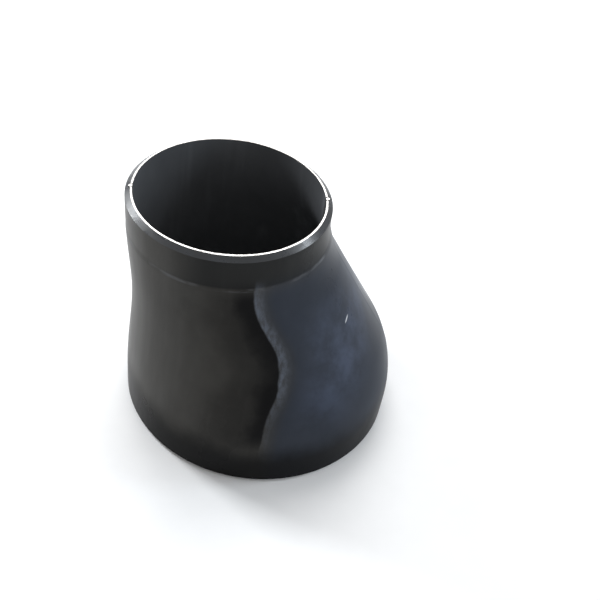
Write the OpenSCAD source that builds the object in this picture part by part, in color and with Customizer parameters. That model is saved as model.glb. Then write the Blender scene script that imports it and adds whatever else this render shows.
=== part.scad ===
// Eccentric butt-weld reducer, DN 400 x DN 250, welded from two formed plate halves.
// Large end on the ground plane, small end up, straight side towards -X.

/* [Ends] */
// Outside diameter of the large end, mm
large_od = 406.4; // [60:0.1:1219]
// Outside diameter of the small end, mm
small_od = 273.1; // [48:0.1:1016]
// Length from end face to end face, mm
end_to_end = 356; // [76:0.5:711]
// Plate thickness, mm
wall = 9.53; // [3:0.01:40]
// Root face left flat on each end, mm
land = 2.4; // [0.8:0.1:2.4]
// Welding bevel measured from the radial plane, degrees
bevel_angle = 37.5; // [30:0.5:45]

/* [Side profile] */
// Straight length at the large end, mm
large_tangent = 39; // [10:1:150]
// Straight length at the small end, mm
small_tangent = 15; // [10:1:150]
// Outside radius of the shoulder on the bulging side, mm
shoulder_radius = 173; // [50:1:600]
// Outside radius of the neck on the bulging side, mm
neck_radius = 148; // [50:1:900]
// How far the straight side draws in at mid height, mm
waist = 8; // [0:0.5:20]

/* [Seams] */
// Width of an outside weld run, mm
outer_run_width = 13; // [6:0.5:30]
// Width of a root run on the inside, mm
inner_run_width = 10; // [6:0.5:30]
// Gap left between the plate edges at mid thickness, mm
root_gap = 3; // [1:0.5:6]
// Height of the outside run above the plate, mm
outer_run_height = 0.6; // [0:0.1:3]
// Height of the root run above the plate, mm
inner_run_height = 1.2; // [0:0.1:3]
// Length over which a run is ground down to flush beside each straight end, mm
run_fade = 20; // [5:1:60]

/* [Hidden] */
$fn = 90;
large_r = large_od / 2;
small_r = small_od / 2;
offset_x = large_r - small_r;
z_low = large_tangent;
z_high = end_to_end - small_tangent;
bevel_height = (wall - land) * tan(bevel_angle);
rings = 20;
step_angle = 360 / $fn;
arc_steps = 180 / step_angle - 1;
raw_length = 2;
proud = 0.1;
bore_stock = 0.4;
sized_low = large_tangent - 2;
sized_high = small_tangent - 2;

// Outline of the bulging side: shoulder arc, straight slope, neck arc
drop = 2 * offset_x;
rise = z_high - z_low;
radius_sum = shoulder_radius + neck_radius;
slope_length = sqrt(pow(radius_sum - drop, 2) + rise * rise - radius_sum * radius_sum);
slope_angle = atan2(rise * radius_sum - (radius_sum - drop) * slope_length,
                    (radius_sum - drop) * radius_sum + rise * slope_length);
neck_x = large_r - drop;

// Bulging side at height z, on the surface that lies depth inside the plate
function shoulder_x(z, depth) =
    large_r - shoulder_radius
    + sqrt(max(0, pow(shoulder_radius - depth, 2) - pow(z - z_low, 2)));
function neck_side_x(z, depth) =
    neck_x + neck_radius
    - sqrt(max(0, pow(neck_radius + depth, 2) - pow(z_high - z, 2)));
function slope_x(z, depth) =
    large_r - shoulder_radius
    + (shoulder_radius - depth) * cos(slope_angle)
    - (z - z_low - (shoulder_radius - depth) * sin(slope_angle)) * tan(slope_angle);
function bulge_x(z, depth) =
    z <= z_low ? large_r - depth
    : z >= z_high ? neck_x - depth
    : z - z_low < (shoulder_radius - depth) * sin(slope_angle) ? shoulder_x(z, depth)
    : z_high - z < (neck_radius + depth) * sin(slope_angle) ? neck_side_x(z, depth)
    : slope_x(z, depth);

// Straight side at height z, drawn in slightly between the two straight ends
function flat_x(z, depth) =
    -large_r + depth
    + waist * pow(sin(180 * min(1, max(0, (z - z_low) / rise))), 2);

// Every level is a circle between the two sides
function centre_x(z, depth) = (bulge_x(z, depth) + flat_x(z, depth)) / 2;
function level_r(z, depth) = (bulge_x(z, depth) - flat_x(z, depth)) / 2;
function level_z(i) = z_low + rise * i / rings;

// Point of a level circle at a given distance y from the symmetry plane
function at_y(z, depth, y, side) = [
    centre_x(z, depth) + side * sqrt(pow(level_r(z, depth), 2) - y * y),
    y,
    z
];

// Point of a level circle at a given angle, with its radius changed by grow
function at_angle(z, depth, angle, grow) = [
    centre_x(z, depth) + (level_r(z, depth) + grow) * cos(angle),
    (level_r(z, depth) + grow) * sin(angle),
    z
];

// Closed outline of one half shell at height z, groove faces included
function shell_level(z) = concat(
    [at_y(z, -proud, outer_run_width / 2, -1)],
    [for (k = [arc_steps : -1 : 1])
        at_angle(z, -proud, k * step_angle, level_r(z, -proud) * (1 / cos(step_angle / 2) - 1))],
    [at_y(z, -proud, outer_run_width / 2, 1)],
    [at_y(z, wall / 2, root_gap / 2, 1)],
    [at_y(z, wall + bore_stock, inner_run_width / 2, 1)],
    [for (k = [1 : arc_steps]) at_angle(z, wall + bore_stock, k * step_angle, 0)],
    [at_y(z, wall + bore_stock, inner_run_width / 2, -1)],
    [at_y(z, wall / 2, root_gap / 2, -1)]
);

// Share of the full run height at height z: none on the straight ends
function run_share(z) =
    min(1, max(0, min(z - z_low, z_high - z) / run_fade));

// Closed outline of a weld run at height z: crown first, then the groove bottom
function run_level(z, side, depth, width, height, steps) =
    let (out = depth < 0 ? 1 : -1)
    concat(
        [for (k = [0 : steps])
            let (y = width * (0.5 - k / steps), lift = 1 - pow(2 * y / width, 2))
            at_y(z, depth, y, side)
            + [side * out * height * run_share(z) * lift, 0, 0]],
        [at_y(z, wall / 2, -root_gap / 2, side)],
        [at_y(z, wall / 2, root_gap / 2, side)]
    );

// Solid skin through a stack of outlines that all have the same number of points
module loft(levels, flip) {
    n = len(levels[0]);
    last = len(levels) - 1;
    walls = [
        for (i = [0 : last - 1], j = [0 : n - 1])
            let (a = i * n + j, b = i * n + (j + 1) % n)
            flip ? [b, a, a + n, b + n] : [a, b, b + n, a + n]
    ];
    bottom = [for (j = [0 : n - 1]) flip ? j : n - 1 - j];
    top = [for (j = [0 : n - 1]) last * n + (flip ? n - 1 - j : j)];
    polyhedron(points = [for (level = levels) each level],
               faces = concat([bottom], walls, [top]), convexity = 6);
}

// Faced, turned and bevelled outside of one end, as the material that is removed
module turned_outside(radius, length) {
    rotate_extrude()
        polygon([
            [radius - wall - 8, -2 * raw_length],
            [radius + 8, -2 * raw_length],
            [radius + 8, length],
            [radius, length],
            [radius, bevel_height],
            [radius - wall + land, 0],
            [radius - wall - 8, 0]
        ]);
}

// Sized bore of one end, as the material that is removed
module sized_bore(radius, length) {
    translate([0, 0, -3 * raw_length])
        cylinder(h = length + 3 * raw_length, r = radius - wall);
}

// Everything that is machined off both ends of the raw welded body
module machining() {
    turned_outside(large_r, sized_low);
    sized_bore(large_r, sized_low);
    translate([-offset_x, 0, end_to_end])
        mirror([0, 0, 1]) {
            turned_outside(small_r, sized_high);
            sized_bore(small_r, sized_high);
        }
}

level_heights = concat([-raw_length], [for (i = [0 : rings]) level_z(i)],
                       [end_to_end + raw_length]);

module half_shell() {
    difference() {
        loft([for (z = level_heights) shell_level(z)], false);
        machining();
    }
}

module weld_run(side, depth, width, height) {
    flip = (side < 0) == (depth < 0);
    difference() {
        loft([for (z = level_heights) run_level(z, side, depth, width, height, 6)], flip);
        machining();
    }
}

module front_half_shell() {
    color("dimgray")
        mirror([0, 1, 0]) half_shell();
}

module rear_half_shell() {
    color("gray")
        half_shell();
}

module flat_seam_outer_run() {
    color("silver")
        weld_run(-1, -proud, outer_run_width, outer_run_height);
}

module flat_seam_inner_run() {
    color("silver")
        weld_run(-1, wall + bore_stock, inner_run_width, inner_run_height);
}

module bulge_seam_outer_run() {
    color("silver")
        weld_run(1, -proud, outer_run_width, outer_run_height);
}

module bulge_seam_inner_run() {
    color("silver")
        weld_run(1, wall + bore_stock, inner_run_width, inner_run_height);
}

front_half_shell();
rear_half_shell();
flat_seam_outer_run();
flat_seam_inner_run();
bulge_seam_outer_run();
bulge_seam_inner_run();
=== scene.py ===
import math

import bpy
from mathutils import Matrix, Vector


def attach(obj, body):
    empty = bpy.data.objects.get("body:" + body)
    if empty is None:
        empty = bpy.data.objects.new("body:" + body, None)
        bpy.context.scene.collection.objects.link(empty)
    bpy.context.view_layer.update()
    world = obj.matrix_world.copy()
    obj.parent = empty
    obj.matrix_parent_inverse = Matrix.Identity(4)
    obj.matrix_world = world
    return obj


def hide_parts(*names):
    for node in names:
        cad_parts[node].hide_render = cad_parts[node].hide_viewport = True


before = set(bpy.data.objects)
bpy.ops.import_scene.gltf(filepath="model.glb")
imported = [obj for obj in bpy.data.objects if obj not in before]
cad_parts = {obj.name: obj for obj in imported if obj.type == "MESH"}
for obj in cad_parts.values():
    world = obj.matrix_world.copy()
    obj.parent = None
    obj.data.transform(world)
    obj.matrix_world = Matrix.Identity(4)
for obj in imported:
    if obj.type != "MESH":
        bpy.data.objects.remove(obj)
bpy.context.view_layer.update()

# ---------------------------------------------------------------- the fitting, metres
LARGE_R, SMALL_R, LENGTH, WALL = 0.2032, 0.13655, 0.356, 0.00953
OFFSET = LARGE_R - SMALL_R
LAND, BEVEL = 0.0024, math.radians(37.5)
BEVEL_H = (WALL - LAND) * math.tan(BEVEL)
Z_LOW, Z_HIGH = 0.039, LENGTH - 0.015
SHOULDER, NECK, WAIST = 0.173, 0.148, 0.008
OUT_W, IN_W, GAP = 0.013, 0.010, 0.003
OUT_H, IN_H, FADE = 0.0006, 0.0012, 0.020

# Outline of the bulging side: shoulder arc, straight slope, neck arc
DROP, RISE, SUM = 2 * OFFSET, Z_HIGH - Z_LOW, SHOULDER + NECK
SLOPE_L = math.sqrt((SUM - DROP) ** 2 + RISE**2 - SUM**2)
SLOPE = math.atan2(RISE * SUM - (SUM - DROP) * SLOPE_L, (SUM - DROP) * SUM + RISE * SLOPE_L)
NECK_X = LARGE_R - DROP

# ---------------------------------------------------------------- relief, metres
# Lower edge of the turned collar, and how far the formed body stands proud of it
COLLAR_Z = LENGTH - 0.048
COLLAR_STEP, COLLAR_SOFT = 0.0007, 0.005
STEP_FROM = (0.20, 0.28)

# The press line starts at PRESS_X, swings out by PRESS_SWING about the height PRESS_MID
# and leans back by PRESS_LEAN over the heights PRESS_LEAN_Z
PRESS_X, PRESS_SWING, PRESS_MID, PRESS_SPREAD = -0.008, 0.018, 0.182, 0.055
PRESS_LEAN, PRESS_LEAN_Z = 0.027, (0.20, 0.30)
RIDGE_H, RIDGE_REACH = 0.0013, 0.028
RIDGE_FROM, RIDGE_TO = (0.06, 0.12), (0.335, 0.28)

# Share of the outside bead's height that shows, and the ripple along each bead
GROUND = 0.4
RIPPLE_PITCH, RIPPLE_OUT, RIPPLE_IN, RIPPLE_BOW = 0.0042, 0.00002, 0.00016, 9

# ---------------------------------------------------------------- coat, metres
COAT_DARK, COAT_LIGHT = (0.030, 0.029, 0.027), (0.052, 0.050, 0.046)
# The inside coat is the same lacquer, painted paler than the outside to stand in for light in
# the shaded bore
INSIDE_DARK, INSIDE_LIGHT = (0.066, 0.069, 0.074), (0.094, 0.098, 0.104)
COAT_GLOSS, INSIDE_GLOSS, BEVEL_GLOSS = 0.035, 0.10, 0.75
WANDER = 0.005
BODY_FROM, BODY_TO = (0.045, 0.10), (0.29, 0.325)

# The painted dark reflection band and its darker strip end at the press line over this distance
LINE_EDGE = (-0.001, 0.0025)
# Painted dark reflection: a band and a narrower strip before the press line, and a dark foot at
# the large end
DARK_BAND_RISE, DARK_BAND_WANDER = (-0.105, -0.020), 3.0
DARK_STRIP_RISE, DARK_STRIP_WANDER, DARK_STRIP_SHARE = (-0.058, -0.004), 2.0, 0.95
FOOT_FADE, FOOT_SHARE = (0.036, 0.088), 0.9
# Colour of the painted dark reflection
PAINTED_REFLECTION_BLACK = (0.005, 0.005, 0.0055)

# Painted highlight: a lighter streak along the top of the press line
CREST_RISE, CREST_FALL = (-0.001, 0.003), (0.004, 0.020)
CREST_Z, CREST_LOW = (0.10, 0.19), 0.25
CREST_HIGHLIGHT_GREY = (0.098, 0.112, 0.140)

# Painted highlight: a broken lighter line at the lower edge of the collar
RING_RISE = (COLLAR_Z - 0.004, COLLAR_Z - 0.001)
RING_FALL = (COLLAR_Z + 0.0005, COLLAR_Z + 0.003)
RING_HIGHLIGHT_GREY = (0.12, 0.125, 0.135)

# Grey on the straight side: handling dust in streaks, and a painted reflection of grey
# surroundings
DUST_AND_REFLECTION_X, DUST_AND_REFLECTION_Z, DUST_AND_REFLECTION_SHARE = (-0.20, -0.045), (0.05, 0.10), 0.70
DUST_AND_REFLECTION_GREY = (0.092, 0.091, 0.088)

# Painted bluish sheen on the bulge, strongest in its middle: a painted reflection of bluish
# light
SHEEN_RISE, SHEEN_TOP = (-0.002, 0.03), (0.335, 0.29)
SHEEN_DARK, SHEEN_LIGHT = (0.022, 0.026, 0.034), (0.034, 0.039, 0.050)
SHEEN_HEART_RISE, SHEEN_HEART_FALL = (0.015, 0.085), (0.10, 0.16)
SHEEN_HEART_FROM, SHEEN_HEART_TO = (0.07, 0.165), (0.195, 0.28)
SHEEN_HEART_BLUE = (0.072, 0.088, 0.132)

COLLAR_X, COLLAR_FROM = (-0.16, -0.09), (COLLAR_Z - 0.001, COLLAR_Z + 0.004)
COLLAR_BLACK = (0.010, 0.011, 0.012)

SCUFF, SCUFF_TILT = (0.1045, -0.079, 0.213), math.radians(38)
SCUFF_SIZE = (0.0016, 0.008, 0.0095)
SCUFF_GREY = (0.45, 0.46, 0.48)

# ---------------------------------------------------------------- mesh detail
TURN = 180
RINGS = 130
BEAD_RINGS = 420
BEAD_ACROSS = 14
SHARP = math.radians(28)
ON_FACE = 1e-6


def smooth(a, b, x):
    t = min(1.0, max(0.0, (x - a) / (b - a)))
    return t * t * (3 - 2 * t)


def bulge_x(z, depth):
    """Bulging side at height z, on the surface that lies depth inside the plate."""
    a, b = SHOULDER - depth, NECK + depth
    if z <= Z_LOW:
        return LARGE_R - depth
    if z >= Z_HIGH:
        return NECK_X - depth
    if z - Z_LOW < a * math.sin(SLOPE):
        return LARGE_R - SHOULDER + math.sqrt(a * a - (z - Z_LOW) ** 2)
    if Z_HIGH - z < b * math.sin(SLOPE):
        return NECK_X + NECK - math.sqrt(b * b - (Z_HIGH - z) ** 2)
    start = LARGE_R - SHOULDER + a * math.cos(SLOPE)
    return start - (z - Z_LOW - a * math.sin(SLOPE)) * math.tan(SLOPE)


def flat_x(z, depth):
    """Straight side at height z, drawn in slightly between the two straight ends."""
    t = min(1.0, max(0.0, (z - Z_LOW) / RISE))
    return -LARGE_R + depth + WAIST * math.sin(math.pi * t) ** 2


def level(z, depth):
    """Centre and radius of the circle between the two sides at height z."""
    b, f = bulge_x(z, depth), flat_x(z, depth)
    return (b + f) / 2, (b - f) / 2


def end_depth(z):
    """How deep the welding bevel has cut the outside at height z."""
    h = min(z, LENGTH - z)
    return max(0.0, (BEVEL_H - h) / math.tan(BEVEL))


def body_lift(z):
    """The formed body stands a little proud of the turned collar at the small end."""
    below = smooth(COLLAR_Z + COLLAR_SOFT, COLLAR_Z - COLLAR_SOFT, z)
    return COLLAR_STEP * below * smooth(*STEP_FROM, z)


def press_x(z):
    """Where the press line runs, the low ridge between the round side and the bulge."""
    swing = PRESS_SWING * math.exp(-(((z - PRESS_MID) / PRESS_SPREAD) ** 2))
    return PRESS_X + swing - PRESS_LEAN * smooth(*PRESS_LEAN_Z, z)


def press_lift(x, z):
    height = RIDGE_H * smooth(*RIDGE_FROM, z) * smooth(*RIDGE_TO, z)
    return height * math.exp(-abs(x - press_x(z)) / RIDGE_REACH)


def at_y(z, depth, y, side):
    """Point of a level circle at a given distance y from the symmetry plane."""
    c, r = level(z, depth)
    return Vector((c + side * math.sqrt(r * r - y * y), y, z))


def mesh_object(name, verts, faces, mats, mat_of):
    me = bpy.data.meshes.new(name)
    me.from_pydata([tuple(v) for v in verts], [], faces)
    me.validate()
    for m in mats:
        me.materials.append(m)
    for p in me.polygons:
        p.material_index = mat_of(p.center)
    ob = bpy.data.objects.new(name, me)
    bpy.context.scene.collection.objects.link(ob)
    me.shade_smooth()
    me.set_sharp_from_angle(angle=SHARP)
    return ob


# ---------------------------------------------------------------- node materials
class Nodes:
    """Small helper round a material's node tree."""

    def __init__(self, name):
        self.mat = bpy.data.materials.new(name)
        self.mat.use_nodes = True
        self.tree = self.mat.node_tree
        self.bsdf = self.tree.nodes["Principled BSDF"]
        self.where = self.add("ShaderNodeTexCoord").outputs["Object"]

    def add(self, kind, **values):
        n = self.tree.nodes.new(kind)
        for k, v in values.items():
            setattr(n, k, v)
        return n

    def link(self, a, b):
        self.tree.links.new(a, b)

    def noise(self, scale, stretch=(1, 1, 1), detail=3.0, rough=0.55):
        m = self.add("ShaderNodeMapping")
        m.inputs["Scale"].default_value = stretch
        self.link(self.where, m.inputs["Vector"])
        n = self.add("ShaderNodeTexNoise")
        n.inputs["Scale"].default_value = scale
        n.inputs["Detail"].default_value = detail
        n.inputs["Roughness"].default_value = rough
        self.link(m.outputs["Vector"], n.inputs["Vector"])
        return n.outputs["Fac"]

    def span(self, value, a, b, low, high):
        """value taken from a..b to low..high in a straight line."""
        r = self.add("ShaderNodeMapRange")
        r.inputs["From Min"].default_value = a
        r.inputs["From Max"].default_value = b
        r.inputs["To Min"].default_value = low
        r.inputs["To Max"].default_value = high
        self.link(value, r.inputs["Value"])
        return r.outputs["Result"]

    def soft(self, value, a, b, low, high):
        """value taken from a..b to low..high with soft ends."""
        r = self.span(value, a, b, low, high)
        r.node.interpolation_type = "SMOOTHSTEP"
        return r

    def math(self, op, a, b=None):
        m = self.add("ShaderNodeMath", operation=op)
        for i, v in enumerate((a, b)):
            if v is None:
                continue
            if isinstance(v, (int, float)):
                m.inputs[i].default_value = v
            else:
                self.link(v, m.inputs[i])
        return m.outputs["Value"]

    def plus(self, a, b):
        return self.math("ADD", a, b)

    def minus(self, a, b):
        return self.math("SUBTRACT", a, b)

    def times(self, product, *factors):
        for f in factors:
            product = self.math("MULTIPLY", product, f)
        return product

    def mix(self, fac, a, b):
        m = self.add("ShaderNodeMix", data_type="RGBA")
        self.link(fac, m.inputs["Factor"])
        for key, v in (("A", a), ("B", b)):
            socket = [s for s in m.inputs if s.name == key and s.type == "RGBA"][0]
            if isinstance(v, tuple):
                socket.default_value = (*v, 1.0)
            else:
                self.link(v, socket)
        return [s for s in m.outputs if s.type == "RGBA"][0]

    def bump(self, height, distance, strength, after=None):
        b = self.add("ShaderNodeBump")
        b.inputs["Strength"].default_value = strength
        b.inputs["Distance"].default_value = distance
        self.link(height, b.inputs["Height"])
        if after is not None:
            self.link(after, b.inputs["Normal"])
        return b.outputs["Normal"]

    def out(self, **sockets):
        for k, v in sockets.items():
            s = self.bsdf.inputs[k.replace("_", " ")]
            if isinstance(v, (int, float)):
                s.default_value = v
            else:
                self.link(v, s)
        return self.mat


def scuff_mask(n):
    """A small worn spot, as a tilted ellipsoid that the surface passes through."""
    spot = n.add("ShaderNodeMapping", vector_type="TEXTURE")
    spot.inputs["Location"].default_value = SCUFF
    spot.inputs["Rotation"].default_value = (0.0, SCUFF_TILT, 0.0)
    spot.inputs["Scale"].default_value = SCUFF_SIZE
    n.link(n.where, spot.inputs["Vector"])
    ball = n.add("ShaderNodeTexGradient", gradient_type="SPHERICAL")
    n.link(spot.outputs["Vector"], ball.inputs["Vector"])
    return n.span(ball.outputs["Fac"], 0.0, 0.4, 0, 0.9)


def formed_coat(n, tone, cloud):
    """The outside coat, with what changes from one place to another, and its painted
    reflections and highlights.
    """
    xyz = n.add("ShaderNodeSeparateXYZ")
    n.link(n.where, xyz.inputs[0])
    x, z = xyz.outputs["X"], xyz.outputs["Z"]
    wander = n.span(n.noise(22.0, detail=3), 0.3, 0.7, -WANDER, WANDER)

    # Distance from the press line, positive towards the bulge
    t = n.math("DIVIDE", n.minus(z, PRESS_MID), PRESS_SPREAD)
    hump = n.math("EXPONENT", n.times(t, t, -1.0))
    lean = n.soft(z, *PRESS_LEAN_Z, PRESS_X, PRESS_X - PRESS_LEAN)
    line = n.plus(n.times(hump, PRESS_SWING), lean)
    d = n.minus(n.minus(x, line), n.times(wander, 0.35))
    before = n.soft(d, *LINE_EDGE, 1, 0)
    body = n.times(n.soft(z, *BODY_FROM, 0, 1), n.soft(z, *BODY_TO, 1, 0))

    # Painted dark reflection: a band before the press line with a darker strip at its edge, and
    # a dark foot at the large end
    dark_band = n.times(n.soft(n.plus(d, n.times(wander, DARK_BAND_WANDER)), *DARK_BAND_RISE, 0, 1), before)
    dark_band = n.times(dark_band, body, n.span(cloud, 0.35, 0.65, 0.40, 0.70))
    dark_strip = n.soft(n.plus(d, n.times(wander, DARK_STRIP_WANDER)), *DARK_STRIP_RISE, 0, DARK_STRIP_SHARE)
    dark_band = n.math("MAXIMUM", dark_band, n.times(dark_strip, before, body))
    foot = n.soft(n.plus(z, wander), *FOOT_FADE, FOOT_SHARE, 0)
    # All the painted dark reflection together
    deep = n.math("MAXIMUM", dark_band, foot)

    # Painted highlight: a lighter streak along the top of the press line
    crest_highlight = n.times(n.soft(d, *CREST_RISE, 0, 1), n.soft(d, *CREST_FALL, 1, 0))
    crest_highlight = n.times(crest_highlight, n.soft(z, *CREST_Z, CREST_LOW, 1), body)
    fine = n.noise(160.0, (1, 1, 0.4), detail=4, rough=0.7)
    crest_highlight = n.times(crest_highlight, n.span(fine, 0.35, 0.62, 0.25, 1.0))

    # Painted highlight: a broken lighter line at the lower edge of the collar
    ring_highlight = n.times(n.soft(z, *RING_RISE, 0, 1), n.soft(z, *RING_FALL, 1, 0))
    ring_highlight = n.times(ring_highlight, n.span(n.noise(18.0, (1, 1, 4), detail=4), 0.42, 0.62, 0.0, 1.0))

    # The straight side is greyed, partly by handling dust in streaks, partly by a painted
    # reflection of grey surroundings
    dust_and_reflection = n.soft(n.plus(x, wander), *DUST_AND_REFLECTION_X, DUST_AND_REFLECTION_SHARE, 0)
    streaks = n.noise(34.0, (1, 1, 0.1), detail=4)
    dust_and_reflection = n.times(dust_and_reflection, n.span(streaks, 0.35, 0.65, 0.55, 1.0))
    tone = n.mix(n.times(dust_and_reflection, n.soft(z, *DUST_AND_REFLECTION_Z, 0, 1)), tone, DUST_AND_REFLECTION_GREY)

    # Painted bluish sheen: the bulge is bluer than the rest, most of all in the middle, as a
    # painted reflection of bluish light
    bluish_sheen = n.times(n.soft(d, *SHEEN_RISE, 0, 1), n.soft(z, *SHEEN_TOP, 0, 1))
    tone = n.mix(bluish_sheen, tone, n.mix(n.span(cloud, 0.3, 0.7, 0, 1), SHEEN_DARK, SHEEN_LIGHT))
    sheen_heart = n.times(n.soft(n.plus(d, wander), *SHEEN_HEART_RISE, 0, 1), n.soft(d, *SHEEN_HEART_FALL, 1, 0))
    sheen_heart = n.times(sheen_heart, n.soft(z, *SHEEN_HEART_FROM, 0, 1), n.soft(z, *SHEEN_HEART_TO, 1, 0))
    mottle = n.noise(26.0, detail=4, rough=0.6)
    sheen_heart = n.times(sheen_heart, n.span(mottle, 0.36, 0.62, 0.25, 1.0))
    tone = n.mix(n.times(sheen_heart, 0.55), tone, SHEEN_HEART_BLUE)

    # The turned collar is blacker, except on the straight side
    collar = n.times(n.soft(x, *COLLAR_X, 0, 1), n.soft(z, *COLLAR_FROM, 0, 1))
    tone = n.mix(n.times(collar, 0.75), tone, COLLAR_BLACK)

    # Painted dark reflection, then the painted highlights along the press line and at the
    # collar
    tone = n.mix(deep, tone, PAINTED_REFLECTION_BLACK)
    tone = n.mix(n.times(crest_highlight, 0.8), tone, CREST_HIGHLIGHT_GREY)
    tone = n.mix(n.times(ring_highlight, 0.7), tone, RING_HIGHLIGHT_GREY)
    return n.mix(scuff_mask(n), tone, SCUFF_GREY)


def lacquer(name, dark, light, rough, gloss=COAT_GLOSS, formed=False):
    n = Nodes(name)
    cloud = n.noise(9.0, (1, 1, 0.6), detail=4)
    streak = n.noise(30.0, (1, 1, 0.06), detail=3)
    tone = n.mix(n.span(cloud, 0.3, 0.7, 0.0, 1.0), dark, light)
    bright = tuple(1.8 * c for c in light)
    tone = n.mix(n.span(streak, 0.55, 0.8, 0.0, 0.35), tone, bright)
    if formed:
        tone = formed_coat(n, tone, cloud)
    hollow = n.bump(n.noise(9.0, (1, 1, 0.7), detail=1), 0.0024, 0.3)
    peel = n.bump(n.noise(210.0, detail=2), 0.00012, 0.3, hollow)
    r = n.span(cloud, 0.25, 0.75, *rough)
    return n.out(Base_Color=tone, Roughness=r, Normal=peel, Specular_IOR_Level=gloss)


def turning_marks(n):
    """Fine rings left by the lathe."""
    return n.noise(60.0, (1, 1, 30), detail=3)


def coated_bevel(name):
    """A thin coat over bright turned steel."""
    n = Nodes(name)
    patch = n.span(n.noise(38.0, (1, 1, 2), detail=4, rough=0.65), 0.40, 0.62, 0, 1)
    tone = n.mix(patch, (0.010, 0.011, 0.013), (0.020, 0.023, 0.028))
    turned = turning_marks(n)
    r = n.plus(n.span(patch, 0, 1, 0.42, 0.24), n.span(turned, 0.3, 0.7, -0.03, 0.05))
    marks = n.bump(turned, 0.00005, 0.4)
    return n.out(Base_Color=tone, Roughness=r, Normal=marks, Specular_IOR_Level=BEVEL_GLOSS)


def bare_steel(name):
    n = Nodes(name)
    turned = turning_marks(n)
    fleck = n.noise(150.0, detail=4, rough=0.7)
    tone = n.mix(n.span(turned, 0.3, 0.7, 0, 1), (0.62, 0.60, 0.58), (0.80, 0.78, 0.76))
    tone = n.mix(n.span(fleck, 0.60, 0.68, 0, 0.8), tone, (0.16, 0.13, 0.11))
    r = n.span(fleck, 0.3, 0.7, 0.28, 0.5)
    marks = n.bump(turned, 0.00005, 0.5)
    return n.out(Base_Color=tone, Metallic=1.0, Roughness=r, Normal=marks)


LACQUER = lacquer("black lacquer", COAT_DARK, COAT_LIGHT, (0.22, 0.42), formed=True)
# Paler than the outside lacquer: painted light inside the shaded bore
INSIDE = lacquer("lacquered inside", INSIDE_DARK, INSIDE_LIGHT, (0.5, 0.7), INSIDE_GLOSS)
WELD = lacquer("lacquered weld", COAT_DARK, COAT_LIGHT, (0.24, 0.45))
STEEL = bare_steel("bare root face")
EDGE = coated_bevel("thinly lacquered bevel")


# ---------------------------------------------------------------- plate halves
def heights():
    """Levels of the half shells, closer together at the bevels and the collar's edge."""
    out = [0.0, BEVEL_H / 2, BEVEL_H, 0.015, 0.027]
    out += [Z_LOW + RISE * i / RINGS for i in range(RINGS + 1)]
    out += [LENGTH - BEVEL_H, LENGTH - BEVEL_H / 2, LENGTH]
    out += [COLLAR_Z + 0.002 * k for k in range(-3, 4)]
    return sorted(set(round(z, 6) for z in out))


def groove_y(depth):
    """Half width of the double-V groove at a given depth."""
    if depth < WALL / 2:
        return GAP / 2 + (OUT_W - GAP) / 2 * (1 - depth / (WALL / 2))
    return GAP / 2 + (IN_W - GAP) / 2 * (depth / (WALL / 2) - 1)


def half_shell(name, sign):
    zs, verts, faces = heights(), [], []
    angles = [math.pi * (1 - k / TURN) for k in range(1, TURN)]
    for z in zs:
        cut = end_depth(z)
        d = cut - (body_lift(z) if cut == 0 else 0)
        mid = max(WALL / 2, cut)
        row = [at_y(z, d, groove_y(max(0, d)), -1)]
        c, r = level(z, d)
        for a in angles:
            q = r + press_lift(c + r * math.cos(a), z)
            row.append(Vector((c + q * math.cos(a), q * math.sin(a), z)))
        row += [at_y(z, d, groove_y(max(0, d)), 1), at_y(z, mid, groove_y(mid), 1)]
        row += [at_y(z, WALL, groove_y(WALL), 1)]
        c, r = level(z, WALL)
        row += [Vector((c + r * math.cos(a), r * math.sin(a), z)) for a in reversed(angles)]
        row += [at_y(z, WALL, groove_y(WALL), -1), at_y(z, mid, groove_y(mid), -1)]
        verts += [Vector((p.x, p.y * sign, p.z)) for p in row]
    n = len(row)
    arc = len(angles) + 2
    quad = (lambda q: q) if sign < 0 else (lambda q: q[::-1])
    for i in range(len(zs) - 1):
        for j in range(n):
            a, b = i * n + j, i * n + (j + 1) % n
            faces.append(quad((b, a, a + n, b + n)))
    # End faces, as strips between the outer and the inner arc
    for base, up in ((0, False), ((len(zs) - 1) * n, True)):
        for k in range(arc - 1):
            f = quad((base + k, base + k + 1, base + n - 3 - k, base + n - 2 - k))
            faces.append(f if up else f[::-1])

    def part_of(p):
        if min(p.z, LENGTH - p.z) < ON_FACE:
            return 1
        c, r = level(p.z, max(WALL / 2, (end_depth(p.z) + WALL) / 2))
        if math.hypot(p.x - c, p.y) < r:
            return 2
        return 3 if end_depth(p.z) > 0 else 0

    return mesh_object(name, verts, faces, [LACQUER, STEEL, INSIDE, EDGE], part_of)


# ---------------------------------------------------------------- weld runs
def bead_height(z, bow, outside, share, lift):
    """Height of a bead above the plate; bow bends each ripple away from its middle."""
    ripple = math.sin((z + bow) * 2 * math.pi / RIPPLE_PITCH)
    crown = GROUND * OUT_H if outside else IN_H
    uneven = 0.93 + 0.05 * math.sin(z * 61)
    return share * lift * (crown * uneven + (RIPPLE_OUT if outside else RIPPLE_IN) * ripple)


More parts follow.
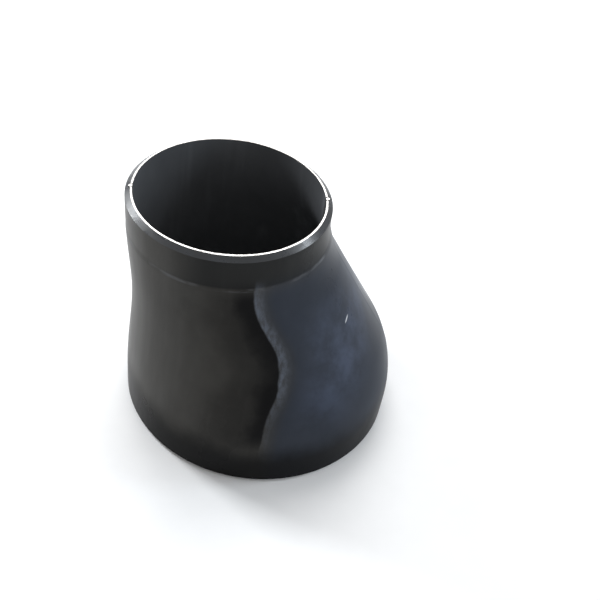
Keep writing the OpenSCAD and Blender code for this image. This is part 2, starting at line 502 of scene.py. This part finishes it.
def weld_run(name, side, outside):
    """One bead of a seam.

    Known fault: it follows the bevel no deeper than mid thickness, so that it stands up
    to 2.4 mm past the bevel at each end.
    """
    depth, width = (0.0, OUT_W) if outside else (WALL, IN_W)
    out = 1 if outside else -1
    even = [LENGTH * i / BEAD_RINGS for i in range(BEAD_RINGS + 1)]
    zs = sorted(set([0.0, BEVEL_H, LENGTH - BEVEL_H, LENGTH] + even))
    verts, faces = [], []
    for z in zs:
        share = smooth(0, 1, min(z - Z_LOW, Z_HIGH - z) / FADE)
        cut = end_depth(z) if outside else 0.0
        start = min(cut, WALL / 2) if outside else depth
        surface = start - (body_lift(z) if outside and cut == 0 else 0)
        half = groove_y(start)
        row = []
        for k in range(BEAD_ACROSS + 1):
            y = half * (1 - 2 * k / BEAD_ACROSS)
            lift = (1 - (y / half) ** 2) ** 2
            h = bead_height(z, RIPPLE_BOW * y * y / width, outside, share, lift)
            row.append(at_y(z, surface, y, side) + Vector((side * out * h, 0, 0)))
        # An outside bead keeps a hair of thickness where its top reaches mid thickness
        mid = WALL / 2 + 1e-5 * outside
        row += [at_y(z, mid, -GAP / 2, side), at_y(z, mid, GAP / 2, side)]
        verts += row
    n = len(row)
    flip = (side < 0) != outside
    for i in range(len(zs) - 1):
        for j in range(n):
            a, b = i * n + j, i * n + (j + 1) % n
            f = (a, b, b + n, a + n)
            faces.append(f[::-1] if flip else f)
    low, high = tuple(range(n)), tuple((len(zs) - 1) * n + j for j in range(n))
    faces.append(low if flip else low[::-1])
    faces.append(high[::-1] if flip else high)

    def part_of(p):
        if min(p.z, LENGTH - p.z) < ON_FACE:
            return 1
        return 2 if outside and end_depth(p.z) > 0 else 0

    return mesh_object(name, verts, faces, [LACQUER if outside else WELD, STEEL, EDGE], part_of)


made = [
    (half_shell("front_shell", -1), "front_half_shell", "lacquered_plate"),
    (half_shell("rear_shell", 1), "rear_half_shell", "lacquered_plate"),
]
for side, where in ((-1, "flat"), (1, "bulge")):
    for outside, layer in ((True, "outer"), (False, "inner")):
        ob = weld_run(f"{where}_{layer}_bead", side, outside)
        made.append((ob, f"{where}_seam_{layer}_run", "lacquered_weld"))
for ob, node, slot in made:
    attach(ob, "root")
    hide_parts(node)


# ---------------------------------------------------------------- floor, light, camera
def card(name, centre, size, facing, mat):
    """A flat rectangle of the studio, its normal towards facing."""
    w, h = size[0] / 2, size[1] / 2
    me = bpy.data.meshes.new(name)
    me.from_pydata([(-w, -h, 0), (w, -h, 0), (w, h, 0), (-w, h, 0)], [], [(0, 1, 2, 3)])
    me.materials.append(mat)
    ob = bpy.data.objects.new(name, me)
    bpy.context.scene.collection.objects.link(ob)
    ob.location = centre
    ob.rotation_mode = "QUATERNION"
    ob.rotation_quaternion = (Vector(facing) - Vector(centre)).to_track_quat("Z", "Y")


def plain(name, colour, rough):
    """An even colour, with a faint grain."""
    n = Nodes(name)
    grain = n.noise(14.0, detail=3)
    shade = tuple(0.97 * c for c in colour)
    tone = n.mix(n.span(grain, 0.3, 0.7, 0, 1), colour, shade)
    return n.out(Base_Color=tone, Roughness=rough)


FLOOR = plain("pale floor", (0.93, 0.93, 0.93), 0.8)
card("floor", (0, 0, -0.0005), (60, 60), (0, 0, 1), FLOOR)

LAMP_AIM = 0.25


def lamp(name, turn, height, distance, size, power, colour):
    """A soft box; turn is the angle round the part, counted from -Y towards +X."""
    a = math.radians(turn)
    place = Vector((distance * math.sin(a), -distance * math.cos(a), height))
    data = bpy.data.lights.new(name, "AREA")
    data.shape, data.size, data.size_y = "RECTANGLE", size[0], size[1]
    data.energy, data.color = power, colour
    ob = bpy.data.objects.new(name, data)
    bpy.context.scene.collection.objects.link(ob)
    ob.location = place
    ob.rotation_mode = "QUATERNION"
    ob.rotation_quaternion = (place - Vector((0, 0, LAMP_AIM))).to_track_quat("Z", "Y")


lamp("key", 178, 3.4, 2.1, (2.4, 2.4), 95, (1.0, 1.0, 1.0))
lamp("left box", -126, 2.0, 3.0, (0.9, 0.8), 95, (0.94, 0.97, 1.0))
lamp("right box", 94, 2.6, 3.2, (0.7, 0.7), 20, (0.86, 0.93, 1.0))
lamp("right low box", 82, 1.1, 3.2, (2.2, 1.3), 42, (0.82, 0.91, 1.0))
world = bpy.data.worlds.new("studio")
world.use_nodes = True
background = world.node_tree.nodes["Background"]
background.inputs["Color"].default_value = (1.0, 1.0, 1.0, 1.0)
background.inputs["Strength"].default_value = 0.52
bpy.context.scene.world = world
bpy.context.scene.view_settings.view_transform = "Standard"

# The camera looks down by EL from the side AZ, and is rolled by ROLL. The middle of the
# part lies DISTANCE in front of it, AIM to the right of and below its line of sight
AZ, EL, ROLL = math.radians(-10.0), math.radians(42.42), math.radians(-9.83)
DISTANCE, AIM = 1.2153, (-0.0473, -0.0085)
LENS_MM, SENSOR_MM = 49.73, 36.0
forward = Vector((-math.sin(AZ) * math.cos(EL), math.cos(AZ) * math.cos(EL), -math.sin(EL)))
right = Vector((math.cos(AZ), math.sin(AZ), 0))
down = forward.cross(right)
c, s = math.cos(ROLL), math.sin(ROLL)
right, down = c * right + s * down, -s * right + c * down
middle = Vector((0, 0, LENGTH / 2))
place = middle - DISTANCE * forward - AIM[0] * right - AIM[1] * down
cam_data = bpy.data.cameras.new("camera")
cam_data.sensor_width = SENSOR_MM
cam_data.lens = LENS_MM
cam = bpy.data.objects.new("camera", cam_data)
bpy.context.scene.collection.objects.link(cam)
turn = Matrix((right, -down, -forward)).transposed().to_4x4()
cam.matrix_world = Matrix.Translation(place) @ turn
bpy.context.scene.camera = cam
